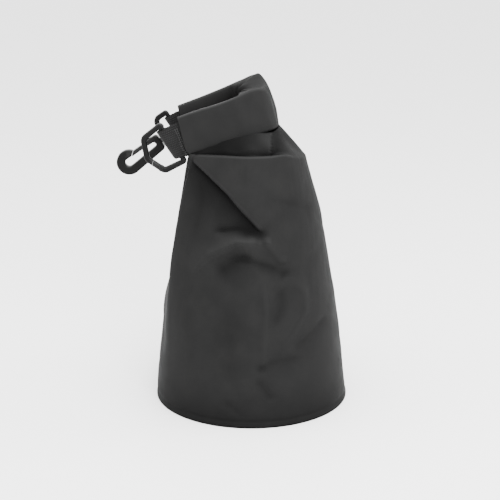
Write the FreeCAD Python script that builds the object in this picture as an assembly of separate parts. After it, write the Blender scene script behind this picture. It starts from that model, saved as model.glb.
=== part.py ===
"""Small roll-top dry bag, standing upright with its mouth rolled down and bent into a hairpin.

Frame: millimetres, +Z up, the origin at the centre of the base's underside. +X points at the closed bend
of the rolled mouth, and the ends of the roll, with the ring and the hook, point towards -X.
The front (ring) end of the roll is on the -Y side and the rear (hook) end on the +Y side.
"""
import FreeCAD
import Part
import math
import os

V = FreeCAD.Vector

# ---- fabric -------------------------------------------------------------------------------------------
SKIN = 0.9                      # coated fabric thickness
BASE_R = 85.0                   # radius of the round base
BASE_FLANGE_H = 15.0            # height of the base panel's turned-up weld flange
FLANGE_LEAN = 0.115             # how much the flange closes in per millimetre of height
FLANGE_GAP = 0.3                # slack between the flange and the tube
SEAM_W = 20.0                   # width of the lapped weld up the back
SEAM_T = 0.7                    # how far the lap stands proud
BODY_SECTIONS = (               # height, half width in X, half depth in Y, centre in X
    (0.0, 85.0, 85.0, 0.0),
    (42.0, 81.0, 80.5, 0.0),
    (90.0, 75.0, 74.0, 0.0),
    (140.0, 68.0, 66.5, 0.0),
    (185.0, 59.5, 58.0, 0.0),
    (212.0, 52.0, 51.0, -1.0),
)
NECK_DROP = 3.0                 # the neck's top edge, this far inside the roll's outline

# ---- rolled mouth -------------------------------------------------------------------------------------
ROLL_TILT = 19.0                # degrees the roll climbs towards +X
ROLL_BEND = V(-11.3, 0.0, 256.9)  # centre of the hairpin bend
ROLL_R = 26.0                   # centreline radius of the bend
ROLL_T = 12.0                   # thickness of the wound roll
ROLL_H = 40.0                   # height of the wound roll
ROLL_LEG = 49.5                 # straight length of each leg
ROLL_EDGE = 5.4                 # rounding along the roll's folded edges
STIFF_H = 28.0                  # stiffener strip height
STIFF_T = 1.2                   # stiffener strip thickness
HEM_T = 0.6                     # hem tape around each stiffener
HEM_GAP = 3.2                   # spacing of the two lips in the roll's core

# ---- webbing and hardware -----------------------------------------------------------------------------
WEB_W = 30.0                    # webbing width
WEB_T = 1.4                     # webbing thickness
WEB_ROOT = 9.0                  # length of webbing caught inside the roll
BAR_R = 2.0                     # round bar that the webbing wraps
BAR_GAP = 0.25                  # slack between a bar and its webbing eye
LEG_Y = {"front": -ROLL_R, "rear": ROLL_R}

RING_BAR = V(-67.6, LEG_Y["front"], 237.4)
RING_ANGLE = 213.2              # direction from the bar to the ring's apex, about -Y from +X
RING_T = 5.0                    # moulded depth
RING_W = 4.9                    # rod width seen from the front
RING_EDGE = 1.7                 # rounding of the ring's moulded edges
RING_HALF = 18.5                # half length of the bar, to the side members' centrelines
RING_SHOULDER = (18.6, 16.5)    # distance out and half spread of the outer corners
RING_APEX = 25.6                # distance out of the apex
RING_GATE_ROOT = 3.6            # from the outer corner to the gate's pivot
RING_NOSE = 5.4                 # length of the fixed nose from the apex
KNUCKLE_R = 2.3                 # round knuckle of the ring's gate
CHEEK_R = 2.4                   # round ends of the cheeks beside that knuckle
RING_SLOT = 2.6                 # depth of the knuckle's slot
TIP_GAP = 0.14                  # slack round the ends of the ring's gate
TIP_SLANT = 0.42                # slant of the gate's end, so that it draws clear of the nose as it opens
GATE_T = 3.4

HOOK_BAR = V(-65.4, LEG_Y["rear"], 237.8)
HOOK_ANGLE = 214.1              # direction from the bar to the hook's head, about -Y from +X
HOOK_T = 6.6                    # moulded depth
HOOK_BAR_TO_HEAD = 52.6         # from the webbing bar to the centre of the hook's round head
HEAD_R = 11.2
THROAT_R = 3.5
THROAT_END = 29.4               # from the head's centre to the round end of the throat
SHANK_TAPER = 6.6               # degrees that the shank's back closes in towards the tail
SHANK_END = 34.7                # from the head's centre to the tail face
TAIL_TOP = 7.6                  # gate-side face of the tail block
CHEEK_X = 22.2                  # where the gate's cheeks begin
CHEEK_T = 1.4                   # thickness of each cheek
SHANK_TOP = -1.0                # gate-side face of the shank at the tail end
HOOK_EDGE = 1.3                 # rounding of the hook's moulded edges
EYE_NEAR = 38.3                 # near side of the webbing eye, from the head's centre
EYE_HALF = 20.4                 # half length of the webbing eye
EYE_ROD = 4.5
STEM_R = 2.4
STEM_BORE_GAP = 0.08
STEM_HEAD_R = 4.4
PIN_R = 0.8
PIN_GAP = 0.05
CHEEK_GAP = 0.15                # side play of a gate between its cheeks

# ---- stitching ----------------------------------------------------------------------------------------
THREAD = 0.9                    # width of a bar tack
TACK_PROUD = 0.5
TACK_ROWS = {"front": (1.5, 2.9, 4.3), "rear": (0.9, 1.95)}   # distance of each row outside the roll


def unit(angle):
    """Direction in the XZ plane, degrees counter-clockwise from +X as seen from -Y."""
    return V(math.cos(math.radians(angle)), 0, math.sin(math.radians(angle)))


ROLL_A = unit(ROLL_TILT)                # along the roll
ROLL_UP = unit(ROLL_TILT + 90.0)        # across the roll, upwards


def placed(shape, origin, out, side):
    """shape, drawn in local x, y, z, moved so that x runs along out and y along side from origin."""
    third = out.cross(side)
    m = FreeCAD.Matrix(out.x, side.x, third.x, origin.x,
                       out.y, side.y, third.y, origin.y,
                       out.z, side.z, third.z, origin.z,
                       0, 0, 0, 1)
    return shape.transformed(m, True)


def rounded_polygon(points, radii):
    """Closed planar wire through points (x, y), each corner rounded by its radius."""
    edges, ends = [], []
    count = len(points)
    for i, (x, y) in enumerate(points):
        here = V(x, y, 0)
        before, after = V(*points[i - 1], 0), V(*points[(i + 1) % count], 0)
        to_before, to_after = (before - here).normalize(), (after - here).normalize()
        if radii[i] <= 0:
            ends.append((here, here))
            continue
        half = to_before.getAngle(to_after) / 2
        reach = radii[i] / math.tan(half)
        start, end = here + to_before * reach, here + to_after * reach
        middle = (to_before + to_after).normalize()
        centre = here + middle * (radii[i] / math.sin(half))
        edges.append((i, Part.Arc(start, centre - middle * radii[i], end).toShape()))
        ends.append((start, end))
    arcs = dict(edges)
    ordered = []
    for i in range(count):
        if i in arcs:
            ordered.append(arcs[i])
        a, b = ends[i][1], ends[(i + 1) % count][0]
        if (a - b).Length > 1e-6:
            ordered.append(Part.LineSegment(a, b).toShape())
    return Part.Wire(ordered)


def slab(wire, depth):
    """A planar wire made solid, centred on the wire's plane."""
    solid = Part.Face(wire).extrude(V(0, 0, depth))
    solid.translate(V(0, 0, -depth / 2))
    return solid


def box(x0, x1, y0, y1, z0, z1):
    return Part.makeBox(x1 - x0, y1 - y0, z1 - z0, V(x0, y0, z0))


def rod(radius, start, end):
    return Part.makeCylinder(radius, (end - start).Length, start, end - start)


def rim_edges(solid, level):
    """The edges of a slab that lie in the planes z = +level and z = -level."""
    return [e for e in solid.Edges if all(abs(abs(v.Z) - level) < 1e-4 for v in e.Vertexes)
            and abs(abs(e.CenterOfMass.z) - level) < 1e-3]


# ---- fabric bag ---------------------------------------------------------------------------------------
def ellipse_section(height, half_x, half_y, centre_x, inset=0.0):
    """Closed horizontal spline through points of an ellipse, drawn in by inset."""
    points = []
    steps = 24
    for i in range(steps):
        t = 2 * math.pi * i / steps
        points.append(V(centre_x + (half_x - inset) * math.cos(t), (half_y - inset) * math.sin(t), height))
    curve = Part.BSplineCurve()
    curve.interpolate(points, PeriodicFlag=True)
    return Part.Wire([curve.toShape()])


def neck_section(inset=0.0, drop=0.0):
    """Closed tilted spline just under the roll, a rounded oblong as long as the hairpin."""
    half_long = (ROLL_LEG + ROLL_R + ROLL_T / 2) / 2 - NECK_DROP - inset
    half_deep = ROLL_R + ROLL_T / 2 - NECK_DROP - inset
    centre = ROLL_BEND + ROLL_A * ((ROLL_R + ROLL_T / 2 - ROLL_LEG) / 2) - ROLL_UP * (ROLL_H / 2 + drop)
    points = []
    steps = 24
    for i in range(steps):
        t = 2 * math.pi * i / steps
        c, s = math.cos(t), math.sin(t)
        along = half_long * math.copysign(abs(c) ** 0.7, c)
        across = half_deep * math.copysign(abs(s) ** 0.7, s)
        points.append(centre + ROLL_A * along + V(0, across, 0))
    curve = Part.BSplineCurve()
    curve.interpolate(points, PeriodicFlag=True)
    return Part.Wire([curve.toShape()])


def bag_solid(inset=0.0, drop=0.0):
    """The bag's filled form, drawn in by inset and its top lowered by drop."""
    sections = [ellipse_section(z, hx, hy, cx, inset) for z, hx, hy, cx in BODY_SECTIONS]
    return Part.makeLoft(sections + [neck_section(inset, drop)], True, False)


def body_shell(outer):
    hollow = bag_solid(SKIN, SKIN)
    return outer.cut(hollow)


def base_panel():
    """Round bottom with its turned-up weld flange, which follows the inside of the tube."""
    foot_r = BASE_R - SKIN - FLANGE_GAP
    top_r = foot_r - BASE_FLANGE_H * FLANGE_LEAN
    dish = Part.makeCone(foot_r, top_r, BASE_FLANGE_H)
    inner_r = foot_r - SKIN * (1 + FLANGE_LEAN)
    hollow = Part.makeCone(inner_r, top_r - SKIN, BASE_FLANGE_H - SKIN, V(0, 0, SKIN))
    return dish.cut(hollow)


def back_seam(outer):
    """The lap of the tube's vertical weld, up the middle of the back."""
    sections = [ellipse_section(z, hx + SEAM_T, hy + SEAM_T, cx) for z, hx, hy, cx in BODY_SECTIONS]
    proud = Part.makeLoft(sections, True, False)
    top = BODY_SECTIONS[-1][0]
    band = proud.common(box(-SEAM_W / 2, SEAM_W / 2, 0, BASE_R + 5, 0, top))
    return band.cut(outer)


# ---- rolled mouth -------------------------------------------------------------------------------------
def hairpin(offset, thickness, height, leg):
    """A strip on edge that follows the hairpin, offset from its centreline, outwards when positive."""
    outer_r, inner_r = ROLL_R + offset + thickness / 2, ROLL_R + offset - thickness / 2
    outer = Part.Wire([
        Part.LineSegment(V(-leg, -outer_r, 0), V(0, -outer_r, 0)).toShape(),
        Part.Arc(V(0, -outer_r, 0), V(outer_r, 0, 0), V(0, outer_r, 0)).toShape(),
        Part.LineSegment(V(0, outer_r, 0), V(-leg, outer_r, 0)).toShape(),
        Part.LineSegment(V(-leg, outer_r, 0), V(-leg, inner_r, 0)).toShape(),
        Part.LineSegment(V(-leg, inner_r, 0), V(0, inner_r, 0)).toShape(),
        Part.Arc(V(0, inner_r, 0), V(inner_r, 0, 0), V(0, -inner_r, 0)).toShape(),
        Part.LineSegment(V(0, -inner_r, 0), V(-leg, -inner_r, 0)).toShape(),
        Part.LineSegment(V(-leg, -inner_r, 0), V(-leg, -outer_r, 0)).toShape(),
    ])
    return slab(outer, height)


def in_roll(shape):
    return placed(shape, ROLL_BEND, ROLL_A, V(0, 1, 0))


def rolled_mouth(cores, webs):
    """The wound fabric: one hairpin with rounded folded edges, hollow where the hems and the webbing sit."""
    solid = hairpin(0, ROLL_T, ROLL_H, ROLL_LEG)
    long_edges = [e for e in rim_edges(solid, ROLL_H / 2) if e.Length > ROLL_T + 1]
    solid = in_roll(solid.makeFillet(ROLL_EDGE, long_edges))
    for piece in cores + webs:
        solid = solid.cut(piece)
    return solid


def hem_offset(lip):
    return HEM_GAP / 2 if lip == "outer" else -HEM_GAP / 2


STIFF_LEG = ROLL_LEG - WEB_ROOT - 2.0   # the stiffeners stop short of the webbing roots


def stiffener(lip):
    return hairpin(hem_offset(lip), STIFF_T, STIFF_H, STIFF_LEG)


def hem_block(lip):
    return hairpin(hem_offset(lip), STIFF_T + 2 * HEM_T, STIFF_H + 2 * HEM_T, STIFF_LEG + HEM_T)


# ---- webbing ------------------------------------------------------------------------------------------
def webbing_loop(end, bar, bar_angle):
    """Folded webbing: two layers sewn flat inside the roll, opening into an eye around a bar.
    Its root lies square to the roll and its fold lies along the bar, so the strap fans a little between."""
    y = LEG_Y[end]
    mouth = ROLL_BEND - ROLL_A * ROLL_LEG
    mouth.y = y
    root = mouth + ROLL_A * WEB_ROOT
    side = unit(bar_angle - 90.0)
    half, thick = WEB_W / 2, WEB_T

    def strip(centre, direction):
        corners = [centre + direction * half + V(0, thick, 0), centre + direction * half - V(0, thick, 0),
                   centre - direction * half - V(0, thick, 0), centre - direction * half + V(0, thick, 0)]
        return Part.makePolygon(corners + corners[:1])

    inside = Part.makeLoft([strip(root, ROLL_UP), strip(mouth, ROLL_UP)], True, True)
    fan = Part.makeLoft([strip(mouth, ROLL_UP), strip(bar, side)], True, True)
    eye_r = BAR_R + BAR_GAP
    eye = rod(eye_r + WEB_T, bar - side * half, bar + side * half)
    bore = rod(eye_r, bar - side * (half + 1), bar + side * (half + 1))
    return inside.fuse([fan, eye]).removeSplitter().cut(bore)


def bar_tacks(end, webbing):
    """Rows of dense stitching across both faces of the webbing, just outside the roll."""
    mouth = ROLL_BEND - ROLL_A * ROLL_LEG
    mouth.y = LEG_Y[end]
    tacks = []
    for out in TACK_ROWS[end]:
        centre = mouth - ROLL_A * out
        bar = box(-THREAD / 2, THREAD / 2, -WEB_W / 2 + 2.5, WEB_W / 2 - 2.5,
                  -WEB_T - TACK_PROUD, WEB_T + TACK_PROUD)
        bar = bar.makeFillet(0.25, [e for e in bar.Edges if e.Length > 5])
        tacks += placed(bar, centre, ROLL_A, ROLL_UP).cut(webbing).Solids
    return Part.makeCompound(tacks)


# ---- ring ---------------------------------------------------------------------------------------------
def ring_outline(grow):
    """The house-shaped outline, its centreline moved outwards by grow."""
    shoulder, spread = RING_SHOULDER
    slope = math.atan2(spread, RING_APEX - shoulder)
    apex = RING_APEX + grow / math.sin(slope)
    reach = spread + grow
    out = apex - reach / math.tan(slope)
    near = RING_HALF + grow
    corners = [(-grow, -near), (out, -reach), (apex, 0), (out, reach), (-grow, near)]
    return rounded_polygon(corners, [3.4, 7.0, 9.0, 7.0, 3.4] if grow > 0 else [1.2, 2.6, 4.4, 2.6, 1.2])


def side_box(start, along, length, low, high, depth, slant=0.0):
    """A box along a line in the local plane, from low to high across it, high being the outside.
    Its far end may slant, the outside shorter, by so much per millimetre across."""
    across = V(along.y, -along.x, 0)
    corners = [(0, low), (length - low * slant, low), (length - high * slant, high), (0, high)]
    shape = slab(rounded_polygon(corners, [0] * 4), depth)
    m = FreeCAD.Matrix(along.x, across.x, 0, start.x, along.y, across.y, 0, start.y, 0, 0, -1, 0, 0, 0, 0, 1)
    return shape.transformed(m, True)


def plain_ring():
    """The whole ring with no gate: a moulded house shape whose webbing side is a round bar."""
    ring = slab(ring_outline(RING_W / 2), RING_T).cut(slab(ring_outline(-RING_W / 2), RING_T + 2))
    ring = ring.makeFillet(RING_EDGE, rim_edges(ring, RING_T / 2))
    inner = RING_HALF - RING_W / 2
    ring = ring.cut(box(-RING_W, RING_W / 2 + 1.3, -inner, inner, -RING_T, RING_T))
    return ring.fuse(rod(BAR_R, V(0, -inner - 1, 0), V(0, inner + 1, 0)))


def ring_parts():
    """Ring, gate and pin. The gate is the lower outer side from its knuckle to the fixed nose at the apex."""
    corner, apex = V(RING_SHOULDER[0], -RING_SHOULDER[1], 0), V(RING_APEX, 0, 0)
    along = (apex - corner).normalize()
    pivot, tip = corner + along * RING_GATE_ROOT, apex - along * RING_NOSE
    length = (tip - pivot).Length

    def hinge(radius, depth):
        return rod(radius, pivot - V(0, 0, depth / 2), pivot + V(0, 0, depth / 2))

    ring = plain_ring()
    opening = side_box(pivot, along, length, -5, 5, RING_T + 2, TIP_SLANT)
    slot = side_box(pivot - along * 3.0, along, 6.0, -5, 5, RING_SLOT)
    frame = ring.cut(opening).fuse(hinge(CHEEK_R, RING_T)).cut(slot)
    tongue_t = RING_SLOT - 2 * CHEEK_GAP
    arm = ring.common(side_box(pivot, along, length - TIP_GAP, -5, 5, RING_T + 2, TIP_SLANT))
    arm = arm.cut(hinge(CHEEK_R + TIP_GAP, RING_T + 2))
    tongue = side_box(pivot, along, 4.0, -1.7, 1.7, tongue_t)
    gate = arm.fuse([tongue, hinge(KNUCKLE_R, tongue_t)]).removeSplitter()
    pin = hinge(PIN_R, RING_T)
    out, side = unit(RING_ANGLE), unit(RING_ANGLE - 90.0)
    pieces = {"ring_frame": frame.cut(pin), "ring_gate": gate.cut(hinge(PIN_R + PIN_GAP, RING_T + 2)),
              "ring_gate_pin": pin}
    return {name: placed(piece, RING_BAR, out, side) for name, piece in pieces.items()}, \
        RING_BAR + out * pivot.x + side * pivot.y


# ---- hook ---------------------------------------------------------------------------------------------
# Local x runs from the centre of the round head towards the tail, local y is the gate's side.
HOOK_PIVOT = V(25.9, 5.1, 0)
HOOK_TIP = V(7.9, 4.7, 0)               # the gate lies on the line from its pivot to here
GATE_REACH = (17.2, 21.2)               # length of the gate at its outer and inner face, under the nose


def hook_body_local():
    """J-shaped body: a round head, a shank that tapers to the tail block, and cheeks for the gate."""
    taper = math.radians(SHANK_TAPER)

    def back(x):
        return (x * math.sin(taper) - HEAD_R) / math.cos(taper)

    lean = HEAD_R * math.tan(math.pi / 8)
    outline = [(-HEAD_R, back(-HEAD_R)), (SHANK_END, back(SHANK_END)), (SHANK_END, TAIL_TOP),
               (CHEEK_X, TAIL_TOP), (CHEEK_X, 3.0), (THROAT_END, 3.0), (THROAT_END, SHANK_TOP),
               (-THROAT_R, -THROAT_R - 0.6), (-THROAT_R, THROAT_R), (4.9, THROAT_R), (9.0, 6.84),
               (lean, HEAD_R), (-HEAD_R, HEAD_R)]
    corners = [HEAD_R, 3.0, 3.0, 2.2, 1.6, 1.9, 1.9, THROAT_R, THROAT_R, 0.9, 1.0, HEAD_R, HEAD_R]
    solid = slab(rounded_polygon(outline, corners), HOOK_T)
    solid = solid.makeFillet(HOOK_EDGE, rim_edges(solid, HOOK_T / 2))
    slot = HOOK_T - 2 * CHEEK_T
    return solid.cut(box(CHEEK_X - 3, THROAT_END - 0.4, 2.4, 12, -slot / 2, slot / 2))


def hook_gate_local():
    """Gate: a bar as deep as the slot with a round knuckle, wider over the open stretch."""
    along = (HOOK_TIP - HOOK_PIVOT).normalize()
    across = V(-along.y, along.x, 0)
    depth = HOOK_T - 2 * CHEEK_T - 2 * CHEEK_GAP
    half = GATE_T / 2
    tip = [(GATE_REACH[0], -half), (GATE_REACH[1], half)]
    bar = slab(rounded_polygon([(0, -half)] + tip + [(0, half)], [0, 0.5, 0.5, 0]), depth)
    knuckle = rod(half + 0.3, V(0, 0, -depth / 2), V(0, 0, depth / 2))
    face = slab(rounded_polygon([(5.0, -half)] + tip + [(5.0, half)], [0.6, 0.5, 0.5, 0.6]), HOOK_T - 1.0)
    face = face.makeFillet(0.5, rim_edges(face, HOOK_T / 2 - 0.5))
    gate = bar.fuse([knuckle, face]).removeSplitter()
    m = FreeCAD.Matrix(along.x, across.x, 0, HOOK_PIVOT.x, along.y, across.y, 0, HOOK_PIVOT.y,
                       0, 0, 1, 0, 0, 0, 0, 1)
    return gate.transformed(m, True)


def hook_stem():
    """Round swivel stem on the tail, through the eye's boss, with a flanged end inside the eye."""
    near, far = SHANK_END - 1.0, EYE_NEAR + EYE_ROD + 0.3
    stem = rod(STEM_R, V(near, 0.4, 0), V(far, 0.4, 0))
    flange = rod(STEM_HEAD_R, V(far, 0.4, 0), V(far + 1.6, 0.4, 0))
    return stem.fuse(flange.makeFillet(0.6, [e for e in flange.Edges if e.CenterOfMass.x > far + 1]))


def hook_eye_local():
    """Swivelling eye: a rounded loop with a round webbing bar at the far side and a boss around the stem."""
    near, far = EYE_NEAR, HOOK_BAR_TO_HEAD + BAR_R
    middle, depth = 0.4, EYE_ROD + 0.1
    inner = EYE_HALF - EYE_ROD

    def rounded_box(x0, x1, half, radii):
        low, high = middle - half, middle + half
        return rounded_polygon([(x0, low), (x1, low), (x1, high), (x0, high)], radii)

    frame = slab(rounded_box(near, far, EYE_HALF, [7.0, 3.0, 3.0, 7.0]), depth)
    hole = rounded_box(near + EYE_ROD, far - 2 * BAR_R, inner, [3.4, 1.0, 1.0, 3.4])
    frame = frame.cut(slab(hole, depth + 3))
    frame = frame.makeFillet(1.2, rim_edges(frame, depth / 2))
    frame = frame.cut(box(far - 2 * BAR_R - 1.2, far + 1, middle - inner, middle + inner, -9, 9))
    bar_end = V(0, inner + 1, 0)
    bar_middle = V(HOOK_BAR_TO_HEAD, middle, 0)
    frame = frame.fuse(rod(BAR_R, bar_middle - bar_end, bar_middle + bar_end))
    boss = rod(STEM_HEAD_R + 0.4, V(near - 0.6, middle, 0), V(near + EYE_ROD, middle, 0))
    boss = boss.makeFillet(0.7, [e for e in boss.Edges if e.CenterOfMass.x < near])
    bore = rod(STEM_R + STEM_BORE_GAP, V(near - 3, middle, 0), V(near + EYE_ROD + 3, middle, 0))
    return frame.fuse(boss).removeSplitter().cut(bore)


def hook_parts():
    head = HOOK_BAR + unit(HOOK_ANGLE) * HOOK_BAR_TO_HEAD
    towards_tail, side = unit(HOOK_ANGLE + 180.0), unit(HOOK_ANGLE - 90.0)
    head = head - side * 0.4
    put = lambda shape: placed(shape, head, towards_tail, side)
    half = HOOK_T / 2
    pin = rod(PIN_R, HOOK_PIVOT - V(0, 0, half), HOOK_PIVOT + V(0, 0, half))
    bore = rod(PIN_R + PIN_GAP, HOOK_PIVOT - V(0, 0, HOOK_T), HOOK_PIVOT + V(0, 0, HOOK_T))
    body = hook_body_local().fuse(hook_stem()).cut(pin)
    return {"hook_body": put(body), "hook_gate": put(hook_gate_local().cut(bore)),
            "hook_gate_pin": put(pin), "hook_eye": put(hook_eye_local())}, \
        head + towards_tail * HOOK_PIVOT.x + side * HOOK_PIVOT.y, head


def main():
    nodes = {}
    outer = bag_solid()
    nodes["body_shell"] = body_shell(outer)
    nodes["base_panel"] = base_panel()
    nodes["back_seam_lap"] = back_seam(outer)

    cores = []
    for lip in ("outer", "inner"):
        strip = in_roll(stiffener(lip))
        block = in_roll(hem_block(lip))
        nodes[f"mouth_stiffener_{lip}"] = strip
        nodes[f"mouth_hem_tape_{lip}"] = block.cut(strip)
        cores.append(block)
    webs = []
    for end, bar, angle in (("front", RING_BAR, RING_ANGLE), ("rear", HOOK_BAR, HOOK_ANGLE)):
        web = webbing_loop(end, bar, angle)
        webs.append(web)
        nodes[f"{end}_webbing_loop"] = web
        nodes[f"{end}_bar_tacks"] = bar_tacks(end, web)
    nodes["rolled_mouth"] = rolled_mouth(cores, webs)

    ring, ring_pivot = ring_parts()
    hook, hook_pivot, hook_head = hook_parts()
    nodes.update(ring)
    nodes.update(hook)

    os.makedirs("parts", exist_ok=True)
    for name, shape in nodes.items():
        print(f"{name}: valid {shape.isValid()}, solids {len(shape.Solids)}, volume {shape.Volume:.1f}")
        shape.exportStep(f"parts/{name}.step")
    for name, point in (("ring bar", RING_BAR), ("ring gate pivot", ring_pivot), ("hook bar", HOOK_BAR),
                        ("hook gate pivot", hook_pivot), ("hook head", hook_head)):
        print(name, [round(c, 3) for c in point])
    print("ring axis", [round(c, 5) for c in unit(RING_ANGLE - 90)],
          "hook bar axis", [round(c, 5) for c in unit(HOOK_ANGLE - 90)],
          "hook swivel axis", [round(c, 5) for c in unit(HOOK_ANGLE + 180)])


main()
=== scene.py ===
"""Looks of the roll-top dry bag: creased fabric body, wound and bent mouth, webbing, ring and hook.

Shapes are worked out in millimetres in the part's own frame and turned into metres when a mesh is made.
The front (ring) end of the roll is on the -Y side, the rear (hook) end on the +Y side.
"""
import bpy
import math
import numpy as np
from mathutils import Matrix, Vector


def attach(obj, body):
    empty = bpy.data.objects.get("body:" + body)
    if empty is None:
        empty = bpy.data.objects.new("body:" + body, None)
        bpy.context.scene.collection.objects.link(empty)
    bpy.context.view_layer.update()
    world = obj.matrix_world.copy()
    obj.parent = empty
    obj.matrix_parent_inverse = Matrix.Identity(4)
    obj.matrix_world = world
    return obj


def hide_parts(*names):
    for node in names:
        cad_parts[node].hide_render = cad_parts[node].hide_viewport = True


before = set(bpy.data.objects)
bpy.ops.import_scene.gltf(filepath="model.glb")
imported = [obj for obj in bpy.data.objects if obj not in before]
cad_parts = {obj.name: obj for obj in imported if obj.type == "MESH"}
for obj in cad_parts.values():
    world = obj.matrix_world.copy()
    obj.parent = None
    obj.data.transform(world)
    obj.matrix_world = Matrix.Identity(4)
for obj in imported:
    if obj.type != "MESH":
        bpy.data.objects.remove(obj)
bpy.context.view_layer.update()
MM = 0.001
Y_AXIS = np.array([0.0, 1.0, 0.0])

# ---- the rolled mouth's frame, as in the CAD model ------------------------------------------------------
TILT = math.radians(19.0)
ALONG = np.array([math.cos(TILT), 0.0, math.sin(TILT)])     # along the roll, towards its bend
UP = np.array([-math.sin(TILT), 0.0, math.cos(TILT)])       # across the roll
BEND = np.array([-11.3, 0.0, 256.9])                        # centre of the hairpin
BEND_R = 26.0
LEG = 49.5
HAIRPIN = 2 * LEG + math.pi * BEND_R                         # length of its middle line
ROLL_T = 12.0
SKIN = 0.9
WEB_W = 30.0
WEB_T = 1.4
BAR_R = 2.0
RING_BAR = np.array([-67.6, -BEND_R, 237.4])
RING_ANGLE = 213.2
HOOK_BAR = np.array([-65.4, BEND_R, 237.8])
HOOK_ANGLE = 214.1


# ---- small helpers ------------------------------------------------------------------------------------
def unit(degrees):
    """Direction in the XZ plane, counter-clockwise from +X as seen from -Y."""
    return np.array([math.cos(math.radians(degrees)), 0.0, math.sin(math.radians(degrees))])


def smooth(x):
    """0 below 0, 1 above 1, and an S curve between."""
    x = np.clip(x, 0.0, 1.0)
    return x * x * (3 - 2 * x)


def bump(x, centre, width):
    """A bell of height 1 around centre."""
    return np.exp(-((x - centre) / width) ** 2)


def through(keys, values, at):
    """A smooth curve through values at keys, with no overshoot (Fritsch and Carlson's slopes)."""
    keys, values, at = np.asarray(keys, float), np.asarray(values, float), np.asarray(at, float)
    gap = np.diff(keys)
    rise = np.diff(values) / gap
    slope = np.concatenate(([rise[0]], (rise[:-1] + rise[1:]) / 2, [rise[-1]]))
    turning = np.concatenate(([False], rise[:-1] * rise[1:] <= 0, [False]))
    slope[turning] = 0
    i = np.clip(np.searchsorted(keys, at) - 1, 0, len(keys) - 2)
    t = (at - keys[i]) / gap[i]
    return ((2 * t ** 3 - 3 * t ** 2 + 1) * values[i] + (t ** 3 - 2 * t ** 2 + t) * gap[i] * slope[i]
            + (3 * t ** 2 - 2 * t ** 3) * values[i + 1] + (t ** 3 - t ** 2) * gap[i] * slope[i + 1])


def spline(points, count, closed=False):
    """Catmull-Rom curve through points, as count samples (n, k) at even parameter steps."""
    p = np.asarray(points, float)
    n = len(p)
    u = np.linspace(0, n if closed else n - 1, count, endpoint=not closed)
    i = np.minimum(np.floor(u).astype(int), n - 1 if closed else n - 2)
    t = (u - i)[:, None]

    def at(k):
        return p[k % n] if closed else p[np.clip(k, 0, n - 1)]

    a, b, c, d = at(i - 1), at(i), at(i + 1), at(i + 2)
    square, cube = 2 * a - 5 * b + 4 * c - d, 3 * b - a - 3 * c + d
    return 0.5 * (2 * b + (c - a) * t + square * t ** 2 + cube * t ** 3)


def waves(a, b, scale, seed):
    """Smooth seeded noise of two coordinates, about -1 to 1, with features about scale across."""
    rng = np.random.default_rng(seed)
    total = np.zeros(np.broadcast(a, b).shape)
    for _ in range(7):
        angle, phase = rng.uniform(0, 2 * math.pi, 2)
        size = scale * rng.uniform(0.7, 1.6)
        total += np.sin(2 * math.pi * (a * math.cos(angle) + b * math.sin(angle)) / size + phase)
    return total / 3.6


def make_mesh(name, verts, faces, uv=None):
    """A smooth-shaded mesh object from millimetre vertices; uv is one (u, v) per vertex, in millimetres."""
    mesh = bpy.data.meshes.new(name)
    mesh.from_pydata((np.asarray(verts) * MM).tolist(), [], faces)
    mesh.validate()
    if uv is not None:
        layer = mesh.uv_layers.new(name="UVMap")
        loops = np.zeros(len(mesh.loops), dtype=np.int64)
        mesh.loops.foreach_get("vertex_index", loops)
        layer.data.foreach_set("uv", (np.asarray(uv) * MM)[loops].ravel())
    mesh.shade_smooth()
    obj = bpy.data.objects.new(name, mesh)
    bpy.context.collection.objects.link(obj)
    return obj


def grid_faces(rows, cols, offset=0):
    """Quads of a grid of vertices whose last column joins the first, from vertex number offset on."""
    faces = []
    for i in range(rows - 1):
        for j in range(cols):
            k = (j + 1) % cols
            faces.append([offset + i * cols + j, offset + i * cols + k, offset + (i + 1) * cols + k,
                          offset + (i + 1) * cols + j])
    return faces


def end_quads(rows, count):
    """Quads across the first and last loop of a grid, whose loops run along a flat section and back."""
    faces = []
    for i in (0, rows - 1):
        for j in range(count // 2 - 1):
            quad = [i * count + j, i * count + j + 1, i * count + count - 2 - j, i * count + count - 1 - j]
            faces.append(quad if i == 0 else quad[::-1])
    return faces


def apply_modifiers(obj):
    """Bakes the object's modifiers into its mesh."""
    graph = bpy.context.evaluated_depsgraph_get()
    mesh = bpy.data.meshes.new_from_object(obj.evaluated_get(graph))
    obj.modifiers.clear()
    old, obj.data = obj.data, mesh
    bpy.data.meshes.remove(old)


# ---- materials ----------------------------------------------------------------------------------------
SCRIM_PITCH = 0.0013        # of the cloth under the coating, in metres like every length below
BODY_RADIUS = 0.075         # turns an angle round the bag into a length
RIB_PITCH = 0.0019
PICK_PITCH = 0.0014


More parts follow.
